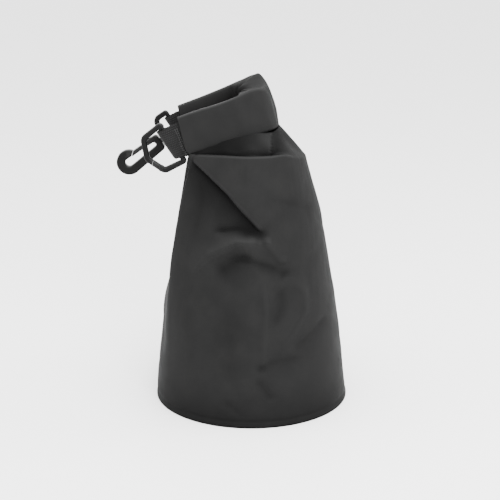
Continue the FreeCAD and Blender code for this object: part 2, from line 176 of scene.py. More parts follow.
class Nodes:
    """A short way to write a node tree."""

    def __init__(self, name):
        self.material = bpy.data.materials.new(name)
        self.material.use_nodes = True
        self.tree = self.material.node_tree
        self.shader = self.tree.nodes["Principled BSDF"]

    def add(self, kind, inputs=None, **settings):
        node = self.tree.nodes.new(kind)
        for key, value in settings.items():
            setattr(node, key, value)
        for key, value in (inputs or {}).items():
            self.put(node.inputs[key], value)
        return node

    def put(self, socket, value):
        if isinstance(value, bpy.types.NodeSocket):
            self.tree.links.new(value, socket)
        else:
            socket.default_value = value

    def shade(self, **inputs):
        for key, value in inputs.items():
            self.put(self.shader.inputs[key.replace("_", " ")], value)

    def noise(self, vector, scale, detail=3.0, rough=0.5):
        node = self.add("ShaderNodeTexNoise", {"Vector": vector, "Scale": scale, "Detail": detail,
                                               "Roughness": rough})
        return node.outputs["Fac"]

    def ramp(self, value, low, high, start=0.0, end=1.0):
        node = self.add("ShaderNodeMapRange", {"Value": value, "From Min": start, "From Max": end,
                                               "To Min": low, "To Max": high})
        return node.outputs["Result"]

    def mix(self, factor, a, b):
        node = self.add("ShaderNodeMix", data_type="RGBA")
        self.put(node.inputs["Factor"], factor)
        self.put(node.inputs["A"], a)
        self.put(node.inputs["B"], b)
        return node.outputs["Result"]

    def math(self, operation, a, b=0.0):
        node = self.add("ShaderNodeMath", operation=operation)
        for socket, value in zip(node.inputs, (a, b)):
            self.put(socket, value)
        return node.outputs["Value"]

    def bump(self, height, distance, strength=1.0, normal=None):
        node = self.add("ShaderNodeBump", {"Height": height, "Distance": distance, "Strength": strength})
        if normal is not None:
            self.put(node.inputs["Normal"], normal)
        return node.outputs["Normal"]

    def open_air(self, reach):
        """1 where the surface is open to its surroundings, down to 0 deep in a recess: a mask for painted
        shade.
        """
        node = self.add("ShaderNodeAmbientOcclusion", {"Distance": reach}, samples=8)
        return self.ramp(node.outputs["AO"], 0.0, 1.0, 0.25, 0.95)

    def painted_top_light(self, start, end):
        """0 to 1 as the surface turns to face upwards: a mask for painting light onto upward faces."""
        normal = self.add("ShaderNodeNewGeometry").outputs["Normal"]
        return self.ramp(self.parts(normal)[2], 0.0, 1.0, start, end)

    def place(self):
        return self.add("ShaderNodeTexCoord").outputs["Object"]

    def parts(self, vector):
        node = self.add("ShaderNodeSeparateXYZ", {"Vector": vector})
        return node.outputs["X"], node.outputs["Y"], node.outputs["Z"]


def grey(value, warmth=0.0):
    return (value * (1 + warmth), value, value * (1 - warmth), 1.0)


def fabric_material(name="coated fabric", tone=0.0080):
    """Matte coated fabric: a faint scrim under the coating, fine grain, dusty patches, scuffed crests with a
    painted highlight, painted light on upward faces and painted shade in recesses.
    """
    m = Nodes(name)
    place = m.place()
    x, y, z = m.parts(place)
    turn = m.math("ARCTAN2", y, x)
    around = m.math("MULTIPLY", turn, BODY_RADIUS)
    weave_a = m.math("SINE", m.math("MULTIPLY", around, 2 * math.pi / SCRIM_PITCH))
    weave_b = m.math("SINE", m.math("MULTIPLY", z, 2 * math.pi / SCRIM_PITCH))
    scrim = m.math("MULTIPLY", weave_a, weave_b)
    grain = m.noise(place, 2600.0, 4.0, 0.6)
    soft = m.noise(place, 55.0, 4.0, 0.55)
    patches = m.noise(place, 14.0, 3.0, 0.5)
    # sharp crests are drawn paler: scuffing, and a painted highlight along them
    edge = m.add("ShaderNodeNewGeometry").outputs["Pointiness"]
    paler_edge = m.ramp(edge, 0.0, 1.0, 0.515, 0.56)
    dust = m.math("MULTIPLY", m.ramp(soft, 0.0, 1.0, 0.42, 0.72), 0.5)
    base = m.mix(patches, grey(tone * 0.86), grey(tone * 1.14))
    base = m.mix(dust, base, grey(tone * 1.3, 0.01))
    base = m.mix(m.math("MULTIPLY", paler_edge, 0.3), base, grey(tone * 1.6))
    # painted light: faces turned upwards are drawn paler
    base = m.mix(m.math("MULTIPLY", m.painted_top_light(0.45, 0.95), 0.7), base, grey(tone * 2.4))
    rough = m.math("ADD", m.ramp(soft, 0.46, 0.60, 0.3, 0.7), m.math("MULTIPLY", grain, 0.06))
    low = m.bump(scrim, 0.00003, 0.35)
    normal = m.bump(grain, 0.00006, 0.5, low)
    # painted shade: the colour is darkened in recesses, from ambient occlusion and from the 'recess'
    # attribute
    recess = m.add("ShaderNodeAttribute", attribute_name="recess").outputs["Fac"]
    clear = m.math("MULTIPLY", m.open_air(0.045), m.ramp(recess, 1.0, 0.2))
    base = m.mix(clear, grey(tone * 0.12), base)
    m.shade(Base_Color=base, Roughness=rough, Normal=normal, Specular_IOR_Level=0.018)
    return m.material


def webbing_material(name="webbing", tone=0.0085):
    """Woven strap: ribs along its length crossed by the weft, from the strap's own length and width."""
    m = Nodes(name)
    uv = m.add("ShaderNodeUVMap", uv_map="UVMap").outputs["UV"]
    u, v, _ = m.parts(uv)
    rib = m.math("ABSOLUTE", m.math("SINE", m.math("MULTIPLY", v, math.pi / RIB_PITCH)))
    row = m.math("FLOOR", m.math("MULTIPLY", v, 1 / RIB_PITCH))
    shift = m.math("MULTIPLY", m.math("MODULO", row, 2.0), 0.5 * math.pi)
    weft = m.math("ADD", m.math("MULTIPLY", u, math.pi / PICK_PITCH), shift)
    pick = m.math("ABSOLUTE", m.math("SINE", weft))
    yarn = m.math("MULTIPLY", rib, pick)
    fuzz = m.noise(m.place(), 1500.0, 4.0, 0.65)
    patches = m.noise(m.place(), 120.0, 3.0)
    base = m.mix(yarn, grey(tone * 0.5), grey(tone * 1.45))
    # painted highlight: paler along the fold round the bar, from the 'fold' attribute
    paler_edge = m.add("ShaderNodeAttribute", attribute_name="fold").outputs["Fac"]
    base = m.mix(m.math("MULTIPLY", paler_edge, 0.8), base, grey(tone * 6.0))
    base = m.mix(m.math("MULTIPLY", m.ramp(patches, 0, 1, 0.45, 0.8), 0.35), base, grey(tone * 1.7))
    rough = m.ramp(fuzz, 0.62, 0.85)
    normal = m.bump(fuzz, 0.00008, 0.5, m.bump(yarn, 0.00035, 0.9))
    m.shade(Base_Color=base, Roughness=rough, Normal=normal, Specular_IOR_Level=0.04)
    return m.material


def thread_material(name="thread", tone=0.004):
    m = Nodes(name)
    place = m.place()
    twist = m.noise(place, 1800.0, 2.0)
    base = m.mix(twist, grey(tone * 0.7), grey(tone * 1.6))
    m.shade(Base_Color=base, Roughness=m.ramp(twist, 0.45, 0.75), Normal=m.bump(twist, 0.0001, 0.6))
    return m.material


def plastic_material(name="moulded plastic", tone=0.0020):
    """Acetal moulding: fine spark texture, softer shine on rubbed edges that also carry a painted highlight,
    painted light on upward faces, painted shade in crevices, a few hairline scratches.
    """
    m = Nodes(name)
    place = m.place()
    grain = m.noise(place, 2200.0, 3.0, 0.6)
    flow = m.noise(place, 90.0, 3.0)
    stretched = m.add("ShaderNodeMapping", {"Vector": place, "Scale": (300.0, 2500.0, 900.0),
                                            "Rotation": (0.4, 0.7, 0.3)}).outputs["Vector"]
    scratch = m.ramp(m.noise(stretched, 1.0, 2.0, 0.4), 0.0, 1.0, 0.66, 0.72)
    # painted highlight: sharp edges are drawn paler; their lower roughness is the rubbed shine
    edge = m.ramp(m.add("ShaderNodeNewGeometry").outputs["Pointiness"], 0.0, 1.0, 0.52, 0.60)
    base = m.mix(flow, grey(tone * 0.88), grey(tone * 1.12))
    base = m.mix(m.math("MULTIPLY", edge, 0.6), base, grey(tone * 6.0))
    # painted light: faces turned upwards are drawn paler
    base = m.mix(m.math("MULTIPLY", m.painted_top_light(0.1, 0.8), 0.8), base, grey(tone * 8.0))
    base = m.mix(m.math("MULTIPLY", scratch, 0.25), base, grey(tone * 2.2))
    rough = m.math("SUBTRACT", m.ramp(flow, 0.36, 0.50), m.math("MULTIPLY", edge, 0.08))
    normal = m.bump(grain, 0.00004, 0.4, m.bump(scratch, 0.00002, 0.3))
    # painted shade: darker in crevices, from ambient occlusion
    clear = m.open_air(0.004)
    base = m.mix(clear, grey(tone * 0.4), base)
    m.shade(Base_Color=base, Roughness=rough, Normal=normal, Specular_IOR_Level=0.07)
    return m.material


def steel_material(name="blackened steel pin"):
    m = Nodes(name)
    flow = m.noise(m.place(), 700.0, 3.0)
    m.shade(Base_Color=m.mix(flow, grey(0.006), grey(0.012)), Roughness=m.ramp(flow, 0.40, 0.55),
            Metallic=1.0)
    return m.material


def strip_material(name="stiffener strip"):
    m = Nodes(name)
    flow = m.noise(m.place(), 160.0, 3.0)
    m.shade(Base_Color=m.mix(flow, grey(0.50, 0.02), grey(0.60, 0.02)), Roughness=m.ramp(flow, 0.35, 0.5))
    return m.material


def floor_material():
    m = Nodes("studio floor")
    flow = m.noise(m.place(), 3.0, 2.0)
    m.shade(Base_Color=m.mix(flow, grey(0.90), grey(0.92)), Roughness=m.ramp(flow, 0.5, 0.6))
    return m.material


# ---- fabric body --------------------------------------------------------------------------------------
# Plan outline at each level: right, front, crest (x, y) and valley, all measured from the axis, and the
# place of the recess's wall, as a fraction of the way from the valley to the crest.
# The outline runs round the outside, over two crests at the left, and into the valley between them.
LEVELS = (
    # height, right, front, crest x, crest y, valley x, wall
    (0.0, 85.0, 85.0, -73.6, 42.5, -85.0, 0.24),
    (20.0, 82.4, 84.0, -73.0, 42.0, -84.1, 0.24),
    (55.0, 79.0, 80.0, -71.5, 40.0, -80.3, 0.26),
    (97.0, 72.6, 75.0, -70.0, 37.0, -75.0, 0.28),
    (130.0, 67.0, 69.0, -68.6, 34.0, -64.0, 0.34),
    (160.0, 62.2, 64.0, -64.9, 32.0, -48.0, 0.42),
    (190.0, 55.6, 58.0, -59.8, 30.5, -30.0, 0.50),
    (208.0, 51.2, 51.0, -56.9, 29.5, -16.0, 0.55),
    (228.0, 46.2, 43.6, -53.0, 28.5, -6.0, 0.60),
)
COLS = 288
BODY_ROWS = 132
NECK_ROWS = 20
NECK_HALF = 3.4         # from the roll's middle line to the fabric that goes up into it


def loops_at(height):
    """Closed plan outlines, one for each height given, as an array (heights, COLS, 2)."""
    table = np.array(LEVELS)
    right, front, crest_x, crest_y, valley, wall = (through(table[:, 0], table[:, k], height)
                                                    for k in range(1, 7))
    wall_x = valley + (crest_x - valley) * wall
    half = [(right * 0.71, -front * 0.71), (right * 0.04, -front), (-np.abs(crest_x) * 0.66, -front * 0.80),
            (crest_x, -crest_y), (wall_x, -crest_y * 0.5)]
    ring = [(right, 0 * right)] + half + [(valley, 0 * valley)] + [(x, -y) for x, y in half[::-1]]
    controls = np.array(ring).transpose(2, 0, 1)
    plan = np.stack([spline(c, COLS, closed=True) for c in controls])
    # the welded base holds the lowest part of the tube to a true circle
    angle = np.arctan2(plan[..., 1], plan[..., 0])
    radius, middle = (right - valley) / 2, (right + valley) / 2
    circle = np.dstack([np.cos(angle), np.sin(angle)]) * radius[:, None, None]
    circle[..., 0] += middle[:, None]
    free = smooth((height - 6.0) / 80.0)[:, None, None]
    return circle * (1 - free) + plan * free


def hairpin_at(d):
    """Where the hairpin is at length d: u is short of the bend by that much, turn is the angle round it."""
    turn = np.clip((d - LEG) / BEND_R, 0, math.pi) - math.pi / 2
    u = np.where(d < LEG, d - LEG, np.where(d > HAIRPIN - LEG, HAIRPIN - LEG - d, 0.0))
    return u, turn


def hairpin(s, offset):
    """Points (u, y) of the hairpin's line at fractions s of its length, moved outwards by offset."""
    u, turn = hairpin_at(s * HAIRPIN)
    radius = BEND_R + offset
    return u + radius * np.cos(turn), radius * np.sin(turn)


def in_roll(u, y, w):
    """World points from the roll's own coordinates."""
    return BEND + ALONG * np.asarray(u)[..., None] + UP * np.asarray(w)[..., None] \
        + Y_AXIS * np.asarray(y)[..., None]


def neck_top():
    """Where the fabric goes up into the roll: round the outside of the hairpin and back along its inside."""
    k = np.arange(COLS) / COLS * 12.0       # 0 at the right, 4 and 8 at the crests, 6 in the valley
    from_crest = np.where(k <= 4, 4 - k, 16 - k)
    outside = (k <= 4) | (k >= 8)
    s = np.where(outside, np.clip(from_crest / 8, 0, 1), np.clip((k - 4) / 4, 0, 1))
    off_crest = smooth(np.minimum(np.abs(k - 4), np.abs(k - 8)) / 0.35)
    offset = np.where(outside, NECK_HALF, -NECK_HALF) * off_crest
    u, y = hairpin(s, offset)
    under = through((0.0, 0.3, 0.42, 0.58, 0.7, 1.0), (-13.0, -13.5, -21.0, -21.0, -14.5, -13.0), s)
    return in_roll(u, y, under)


def near_line(x, z, points):
    """Distance from (x, z) to a polyline, the side it lies on (+ left of travel) and how far along."""
    best = np.full(np.shape(x), 1e9)
    side = np.zeros(np.shape(x))
    along = np.zeros(np.shape(x))
    p = np.asarray(points, float)
    lengths = np.hypot(*np.diff(p, axis=0).T)
    start = np.concatenate(([0], np.cumsum(lengths)))
    for i, length in enumerate(lengths):
        d = (p[i + 1] - p[i]) / length
        t = np.clip((x - p[i, 0]) * d[0] + (z - p[i, 1]) * d[1], 0, length)
        dx, dz = x - p[i, 0] - d[0] * t, z - p[i, 1] - d[1] * t
        distance = np.hypot(dx, dz)
        closer = distance < best
        best = np.where(closer, distance, best)
        side = np.where(closer, np.sign(d[0] * dz - d[1] * dx), side)
        along = np.where(closer, (start[i] + t) / start[-1], along)
    return best, side, along


def crease(x, z, points, height, width, crisp=0.8, fade=0.25):
    """A ridge (or a groove, when height is negative) along a line, dying out at both ends."""
    distance, _, along = near_line(x, z, points)
    profile = np.exp(-(np.sqrt(distance ** 2 + crisp ** 2) - crisp) / width)
    return height * profile * smooth(along / fade) * smooth((1 - along) / fade)


def overlap(x, z, points, lift, drop, reach):
    """A fold whose upper side stands proud of the lower one, with a crisp step between them."""
    distance, side, along = near_line(x, z, points)
    signed = distance * side
    strength = smooth(along / 0.04 + 0.2) * smooth((1 - along) / 0.12)
    above = lift * np.exp(-np.maximum(signed, 0) / reach)
    below = -drop * np.exp(-(np.maximum(-signed, 0) / reach) ** 1.3)
    return strength * (below + (above - below) * smooth(signed / 3.6 + 0.5))


FOLD_LIMIT = 8.5        # the deepest the folds go, either way
FOOT, FOOT_BAND = 4, 24         # folds begin above this height and reach full depth over this band
HEAD, HEAD_BAND = 238, 16       # and die out below this height over this band
GIRTH_R = 70                    # turns an angle round the body into a length
CENTRE = np.array([-4.0, 0.0])  # folds move the fabric away from or towards this point in plan
EYE_CORNER = np.array([-54.5, 28.0, 222.0])     # where the hook's eye turns past the rear crest
EYE_ROOM, EYE_ROOM_R = 3.6, 7.0                 # how far the crest gives way there, and how widely
NECK_RIDGE_X = 16.5     # an upright crease on the front of the neck

# Fold lines on the front, as (x, z).
FOLD = [(-51, 224), (-34, 210), (-19, 197), (-5, 182), (10, 166)]
FRONT_CREASES = (
    # line, height, width
    ([(-36, 166), (-13, 169), (7, 166)], -5.2, 2.6),
    ([(10, 164), (-13, 159), (-34, 147), (-52, 128)], 6.8, 5.5),
    ([(-34, 130), (-12, 146), (4, 148)], -4.2, 7.5),
    ([(9, 166), (18, 153), (29, 140)], 4.2, 4.0),
    ([(-24, 144), (-2, 144), (16, 138), (31, 131)], -3.7, 4.2),
    ([(10, 134), (12, 103), (10, 50)], 3.8, 4.0),
    ([(28, 134), (42, 116), (43, 99), (30, 80), (20, 64)], 4.0, 5.5),
    ([(25, 124), (26, 104), (19, 84)], -2.6, 6.5),
    ([(8, 54), (24, 57), (46, 58)], -2.2, 5.0),
    ([(3, 45), (12, 32), (20, 21)], -1.8, 3.6),
    ([(-24, 24), (-12, 12), (-2, 3)], -1.8, 3.2),
    ([(66, 88), (50, 75), (34, 64)], -2.2, 5.5),
    ([(10, 197), (34, 189), (56, 176)], -1.8, 6.0),
    ([(-48, 214), (-45, 189), (-52, 154)], -2.2, 6.0),
    ([(-60, 100), (-52, 60), (-56, 22)], 1.4, 10.0),
    ([(-10, 104), (-20, 70), (-18, 36)], -1.6, 10.0),
    ([(52, 150), (46, 128), (50, 104)], -1.2, 7.0),
)
DENTS = (
    # x, z, depth, radius
    (7, 165, -5.0, 5.0),
    (-3, 174, -3.0, 10.0),
    (29, 131, -3.0, 4.5),
    (9, 52, -2.6, 4.0),
)
BACK_FOLD = [(44, 214), (30, 196), (8, 178), (-16, 166)]
BACK_CREASES = (
    ([(-16, 166), (-34, 150), (-52, 128), (-62, 98)], 2.2, 8.0),
    ([(-16, 164), (4, 150), (24, 128), (36, 96)], 2.0, 8.0),
    ([(-44, 205), (-36, 184), (-18, 168)], -1.8, 5.0),
    ([(-10, 132), (10, 122), (34, 118)], -1.6, 5.0),
    ([(4, 100), (0, 66), (-6, 34)], 1.3, 6.0),
    ([(-40, 60), (-20, 48), (0, 44)], -1.0, 5.0),
    ([(30, 62), (42, 44), (40, 20)], -0.9, 5.0),
    ([(-60, 50), (-50, 30), (-34, 14)], -0.8, 4.0),
)
SIDE_CREASES = (
    # on the right flank, as (y, z)
    ([(-30, 176), (-8, 160), (16, 150), (34, 132)], -1.5, 6.0),
    ([(20, 196), (8, 170), (12, 140), (4, 108)], 1.4, 6.0),
    ([(-26, 120), (-4, 104), (10, 80), (6, 46)], 1.1, 7.0),
    ([(-34, 60), (-10, 52), (18, 58)], -0.9, 5.0),
)
LEFT_CREASES = (
    # on the left flank, as (y, z)
    ([(-30, 150), (-12, 128), (-2, 100), (0, 64)], 1.4, 7.0),
    ([(30, 154), (14, 130), (4, 98)], 1.3, 7.0),
    ([(-16, 168), (0, 150), (16, 166)], -1.8, 5.0),
    ([(-28, 84), (-8, 72), (20, 76)], -1.0, 5.0),
    ([(-20, 36), (4, 30), (30, 40)], -0.7, 5.0),
)


def fold_field(points):
    """How far each body point stands out from or sinks into the smooth loft, in millimetres."""
    x, y, z = points[..., 0], points[..., 1], points[..., 2]
    flat = np.hypot(x + 1e-6, y)
    front = smooth((-y / flat - 0.05) / 0.35)
    back = smooth((y / flat - 0.05) / 0.35)
    right = smooth((x / flat - 0.45) / 0.35)
    left = smooth((-x / flat - 0.55) / 0.3)
    total = front * overlap(x, z, FOLD, 2.4, 8.0, 22.0)
    total += back * overlap(-x, z, [(-a, b) for a, b in BACK_FOLD], 1.8, 3.6, 15.0)
    for where, a, lines in ((front, x, FRONT_CREASES), (back, x, BACK_CREASES),
                            (right, y, SIDE_CREASES), (left, y, LEFT_CREASES)):
        for line, height, width in lines:
            total += where * crease(a, z, line, height, width)
    for dx, dz, depth, radius in DENTS:
        total += front * depth * np.exp(-((x - dx) ** 2 + (z - dz) ** 2) / radius ** 2)
    around = np.arctan2(y, x) * GIRTH_R
    facing = 0.3 + 0.7 * np.abs(y) / flat
    total += facing * (0.7 * waves(around, z * 0.7, 95.0, 3) + 0.30 * waves(around, z, 38.0, 5))
    total += 0.13 * waves(around * 1.4, z * 0.8, 13.0, 8) * smooth((z - 30) / 120)
    total = total * (1 - 0.55 * smooth((np.abs(x) / flat - 0.78) / 0.18))
    weld = -0.35 * bump(z, 5.6, 1.1) + 0.3 * bump(z, 1.2, 1.6)
    span = smooth((z - FOOT) / FOOT_BAND) * smooth((HEAD - z) / HEAD_BAND)
    return FOLD_LIMIT * np.tanh(total / FOLD_LIMIT) * span + weld


def body_points():
    """The body as rows of closed loops, from the bottom edge to inside the roll."""
    table = np.array(LEVELS)
    lip = table[-1, 0]
    # rows are closer together at the bottom edge and at the lip
    t = np.linspace(0, 1, BODY_ROWS)
    heights = lip * (t - 0.04 * np.sin(2 * math.pi * t))
    plan = loops_at(heights)
    angle = np.arctan2(plan[..., 1], plan[..., 0])
    lip_rise = (1.0 * bump(np.cos(angle - math.radians(-80)), 1.0, 0.7)
                - 8.0 * smooth((np.cos(angle) - 0.55) / 0.45))
    z = heights[:, None] + lip_rise * smooth((heights[:, None] / lip - 0.7) / 0.3)
    body = np.dstack([plan, z])

    top = neck_top()
    edge = body[-1]
    q = np.linspace(0, 1, NECK_ROWS + 1)[1:, None]
    straight = smooth((np.cos(angle[-1]) - 0.35) / 0.5)[None, :]
    inward = (0.45 * smooth(q / 0.22) + 0.55 * q) * (1 - straight) + q * straight
    plan = edge[None, :, :2] * (1 - inward[..., None]) + top[None, :, :2] * inward[..., None]
    climb = q ** 1.5 * (1 - straight) + q * straight
    tuck = -3.0 * np.sin(np.clip(q / 0.34, 0, 1) * math.pi) * (1 - straight)
    z = edge[None, :, 2] * (1 - climb) + top[None, :, 2] * climb + tuck
    off = plan[..., 0] - NECK_RIDGE_X
    past = 1.45 * np.exp(-off / 2.6) - 0.45 * np.exp(-off / 14.0)
    ridge = 5.8 * np.where(off < 0, np.exp(off / 11.0), past)
    plan[..., 1] -= ridge * np.sin(math.pi * q ** 0.8) * smooth(-plan[..., 1] / 10.0)
    pleats = 1.1 * waves(np.arange(COLS)[None, :] * 1.9 + 0 * q, 10 * q, 26.0, 21) * np.sin(math.pi * q)
    neck = np.dstack([plan, z + pleats])
    return np.vstack([body, neck])


def folded_body():
    """The body's rows with their folds, and how far each point has moved outwards."""
    points = body_points()
    outward = points[..., :2] - CENTRE
    outward /= np.linalg.norm(outward, axis=-1, keepdims=True)
    shift = fold_field(points)
    points[..., :2] += outward * shift[..., None]
    # the rear crest is pressed in where the hook's eye turns past it
    beside_eye = np.linalg.norm(points - EYE_CORNER, axis=-1)
    points[..., 0] += EYE_ROOM * np.exp(-(beside_eye / EYE_ROOM_R) ** 2)
    return points, shift


def body_piece(material):
    points, shift = folded_body()
    # painted shade, kept in the 'recess' attribute: darker where the folds sink in, and across the neck under
    # the roll, lighter at its upright crease
    shade = np.clip(-shift / 8.0, 0, 1)
    neck_x = points[BODY_ROWS:, :, 0]
    before_ridge = 0.95 - 0.6 * smooth((neck_x + 25) / 41)
    past_ridge = 0.95 - 0.7 * smooth((neck_x - NECK_RIDGE_X) / 24)
    shade[BODY_ROWS:] = np.where(neck_x < NECK_RIDGE_X, before_ridge, past_ridge)
    rows = points.shape[0]
    obj = make_mesh("fabric_body", points.reshape(-1, 3), grid_faces(rows, COLS))
    recess = obj.data.attributes.new("recess", "FLOAT", "POINT")
    recess.data.foreach_set("value", shade.ravel())
    shell = obj.modifiers.new("wall", "SOLIDIFY")
    shell.thickness = SKIN * MM
    shell.offset = -1.0
    apply_modifiers(obj)
    obj.data.materials.append(material)
    return obj


# ---- rolled mouth -------------------------------------------------------------------------------------
# Height of the roll's upper and lower edge over and under its middle line, from the front end to the rear.
ROLL_TOP = ((0.0, 0.27, 0.36, 0.45, 0.50, 0.53, 0.56, 0.62, 0.67, 0.75, 0.85, 1.0),
            (19.8, 20.2, 21.0, 18.0, 18.4, 21.5, 26.2, 25.4, 23.4, 22.0, 21.4, 19.6))
ROLL_BOTTOM = ((0.0, 0.28, 0.38, 0.45, 0.50, 0.60, 0.75, 1.0),
               (-16.9, -17.1, -19.3, -22.5, -25.0, -23.5, -18.2, -17.4))
ROLL_CREASES = (
    # line, as (length along the roll, height over its middle line), how proud, width
    ([(74, -20), (70, 0), (78, 24)], 0.8, 3.5),
    ([(84, -22), (88, 2), (82, 26)], -0.8, 3.0),
    ([(98, -20), (94, 4), (102, 28)], 1.1, 3.5),
    ([(64, -20), (60, 2), (64, 22)], -0.8, 4.0),
    ([(52, 16), (62, 12), (76, 17)], -0.9, 3.0),
    ([(110, -18), (114, 4), (108, 24)], 0.9, 4.0),
)
CORE = 2.9              # half the thickness of the innermost turn
CORNER_AT = 100.0       # length along the roll of its pointed corner
CORNER_RISE = 1.6
BUNCH_DEPTH = 12.0      # how far the spare width reaches into the hairpin
BUNCH_TOP = 21.8
END_GIVE = 1.9          # how far the lower corners stand back for the ring and the eye
TURNS = 3
PER_TURN = 40
PATH_STEPS = 150


def roll_piece(material):
    """The wound mouth: a flat spiral of fabric swept round the hairpin, looser and taller at the bend."""
    angle = np.linspace(0, 2 * math.pi * TURNS, PER_TURN * TURNS + 1)
    layer = angle / angle[-1]
    rng = np.random.default_rng(4)

    def line(inset):
        half_t = CORE + (ROLL_T / 2 - CORE) * layer - inset
        half_h = 1.0 - 0.14 * (1 - layer) - inset / 18.0
        c, s = np.cos(angle - math.pi / 2), np.sin(angle - math.pi / 2)
        return np.stack([half_t * np.sign(c) * np.abs(c) ** 0.45, half_h * np.sign(s) * np.abs(s) ** 0.66], 1)

    outer, inner = line(0.0), line(SKIN)
    ring = np.vstack([outer, inner[::-1]])
    ring_layer = np.concatenate([layer, layer[::-1]])
    count = len(ring)

    s = np.linspace(0, 1, PATH_STEPS)
    d = (s * HAIRPIN)[:, None]
    u, turn = hairpin_at(d)
    curl = np.cos(turn) ** 0.6
    v, level = ring[None, :, 0], ring[None, :, 1]
    outside = smooth(v / 3 + 0.5)
    # the bend is creased into a sharper corner along its top
    corner = curl * outside * (level > 0)
    level = level * (1 - corner) + corner * np.abs(level) ** 0.6
    # the mouth is wider than the hairpin is long, so its spare width bunches inside the bend
    deep = smooth(-v / 5.0)
    top = through(ROLL_TOP[0], ROLL_TOP[1], s)[:, None]
    bottom = through(ROLL_BOTTOM[0], ROLL_BOTTOM[1], s)[:, None]
    w = np.where(level > 0, level * top, -level * bottom)
    pleats = 1 - 2 * np.abs(np.sin(d / 5.2 + 0.4))
    v = v * (1 + 0.12 * curl) - curl * deep * (BUNCH_DEPTH + 2.6 * pleats + 1.4 * np.sin(d / 5.1 + 1.0))
    spread = curl * deep * (level > 0)
    w = w * (1 - spread) + level * spread * (BUNCH_TOP + 3.0 * np.sin(turn) + 1.8 * pleats)
    high = smooth((w - 8) / 10)
    low = smooth((-w - 8) / 10)
    w = w + high * 0.35 * np.sin(d / 9.0) + low * 0.5 * np.sin(d / 13.0 + 1.0)
    # a pointed corner where the bend is tallest
    w = w + high * CORNER_RISE * np.exp(-np.abs(d - CORNER_AT) / 4.0)
    ripples = sum(crease(d, w, line, height, width) for line, height, width in ROLL_CREASES)
    ripples = ripples + 0.30 * waves(d, w, 30.0, 11) + 0.12 * waves(d * 1.5, w * 0.5, 11.0, 12)
    v = v + ripples * (outside * 2 - 1)
    # each turn ends at its own place
    ends = rng.uniform(-0.9, 0.9, TURNS + 1)
    shift = np.interp(ring_layer * TURNS, np.arange(TURNS + 1), ends)
    radius = BEND_R + v
    end_front, end_rear = smooth(1 - d / 6), smooth(1 - (HAIRPIN - d) / 6)
    give = END_GIVE * smooth((-w - 8) / 5)
    u = (u + radius * np.cos(turn) + end_front * 0.12 * w
         + (end_front + end_rear) * (shift[None, :] - 0.7 + give))
    y = radius * np.sin(turn)
    points = in_roll(u, y, w + 0 * u)
    faces = grid_faces(PATH_STEPS, count) + end_quads(PATH_STEPS, count)
    obj = make_mesh("rolled_mouth_fabric", points.reshape(-1, 3), faces)
    obj.data.materials.append(material)
    return obj


# ---- webbing ------------------------------------------------------------------------------------------
BAR_ROOM = 0.25         # between the strap and its bar
LAY_GAP = 0.04          # half the gap between the strap's two layers
BAR_SQUEEZE = 0.06      # how much narrower the bar's corners press the strap, as a fraction


def webbing_piece(name, y, bar, angle, slack, material, seed):
    """Folded strap: out of the roll's end, round the bar with slack and back, turning to the bar's line."""
    mouth = BEND - ALONG * LEG + np.array([0.0, y, 0.0])
    side = unit(angle - 90.0)
    reach = float(np.linalg.norm(bar - mouth))
    out = (bar - mouth) / reach
    r = BAR_R + BAR_ROOM + WEB_T / 2
    lay = WEB_T / 2 + LAY_GAP
    turn = [(reach + slack + r * math.cos(a), r * math.sin(a)) for a in np.radians(np.linspace(90, -90, 7))]
    wrap = [(reach - 0.5 * r, 0.93 * r)] + turn + [(reach - 0.5 * r, -0.93 * r)]
    route = [(-9.0, lay), (-4.0, lay), (0.0, lay), (reach * 0.35, lay + 0.1)] + wrap \
        + [(reach * 0.35, -lay - 0.1), (0.0, -lay), (-4.0, -lay), (-9.0, -lay)]
    path = spline(route, 110)
    tangent = np.gradient(path, axis=0)
    tangent /= np.linalg.norm(tangent, axis=1, keepdims=True)
    normal = np.stack([-tangent[:, 1], tangent[:, 0]], 1)
    lengths = np.concatenate(([0], np.cumsum(np.hypot(*np.diff(path, axis=0).T))))
    across = np.linspace(-1, 1, 41)
    # cross-section: a flat oval, thin at its selvedges
    half_t = WEB_T / 2 * np.sqrt(np.clip(1 - np.abs(across) ** 14, 0.02, 1))
    section = [(a, t) for a, t in zip(across, half_t)] + [(a, -t) for a, t in zip(across[::-1], half_t[::-1])]
    section = np.array(section)
    count = len(section)
    f = np.clip(path[:, 0] / reach, 0, 1)[:, None]
    direction = UP * (1 - f) + side * f
    direction /= np.linalg.norm(direction, axis=1, keepdims=True)
    free = bump(f, 0.5, 0.3)
    sway = 0.35 * waves(section[None, :, 0] * 15, lengths[:, None], 18.0, seed) * free
    d = path[:, 0:1] + normal[:, 0:1] * (section[None, :, 1] + sway)
    dy = path[:, 1:2] + normal[:, 1:2] * (section[None, :, 1] + sway)
    half_w = WEB_W / 2 * (1 - BAR_SQUEEZE * smooth(f))
    across_mm = section[None, :, 0] * (half_w + 0.12 * np.sin(lengths[:, None] * 2.2))
    points = mouth + out * d[..., None] + Y_AXIS * dy[..., None] \
        + direction[:, None, :] * across_mm[..., None]
    faces = grid_faces(len(path), count) + end_quads(len(path), count)
    uv = np.dstack([np.broadcast_to(lengths[:, None], across_mm.shape), across_mm]).reshape(-1, 2)
    obj = make_mesh(name, points.reshape(-1, 3), faces, uv=uv)
    # painted highlight: the weave is drawn paler along the fold round the bar, where light catches it
    fold_highlight = bump(lengths, lengths[-1] / 2, 2.2)
    fold = obj.data.attributes.new("fold", "FLOAT", "POINT")
    fold.data.foreach_set("value", np.repeat(fold_highlight, count))
    obj.data.materials.append(material)
    return obj, mouth, out, reach


